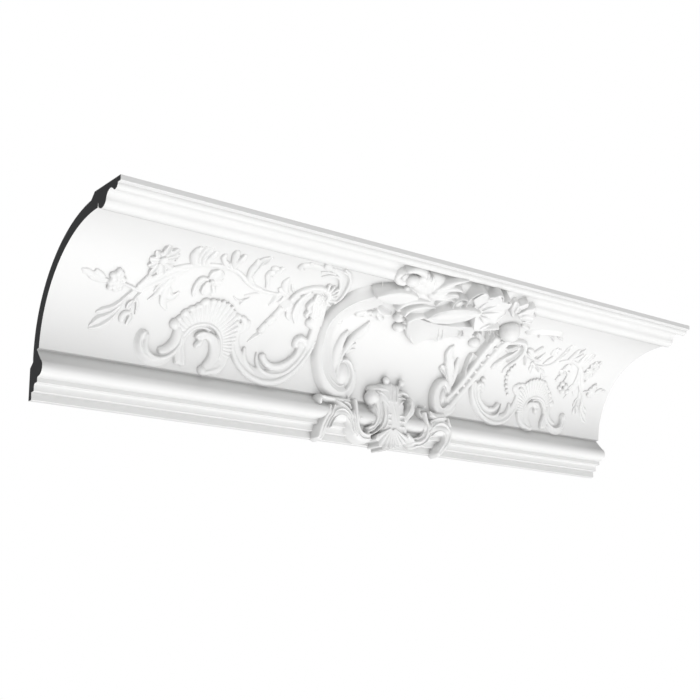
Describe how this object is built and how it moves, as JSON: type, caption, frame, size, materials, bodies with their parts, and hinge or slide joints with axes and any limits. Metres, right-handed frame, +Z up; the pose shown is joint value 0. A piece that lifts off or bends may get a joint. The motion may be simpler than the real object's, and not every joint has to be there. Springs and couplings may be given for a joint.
{
  "type": "decorated cove cornice moulding",
  "caption": "Length of large cove cornice with stepped mouldings along both edges and an asymmetric rococo ornament of scrolls, shells, leaves and flowers.",
  "frame": {"origin": "middle of the glued wall band at the back, halfway along the length", "axes": "+X along the wall, +Y into the wall, +Z up to the ceiling; the ornamented cove faces -Y and down"},
  "size_m": [0.95, 0.205, 0.205],
  "materials": {
    "primed_foam": "smooth white primer, soft satin"
  },
  "bodies": {
    "root": {"cornice": "primed_foam"}
  },
  "joints": []
}
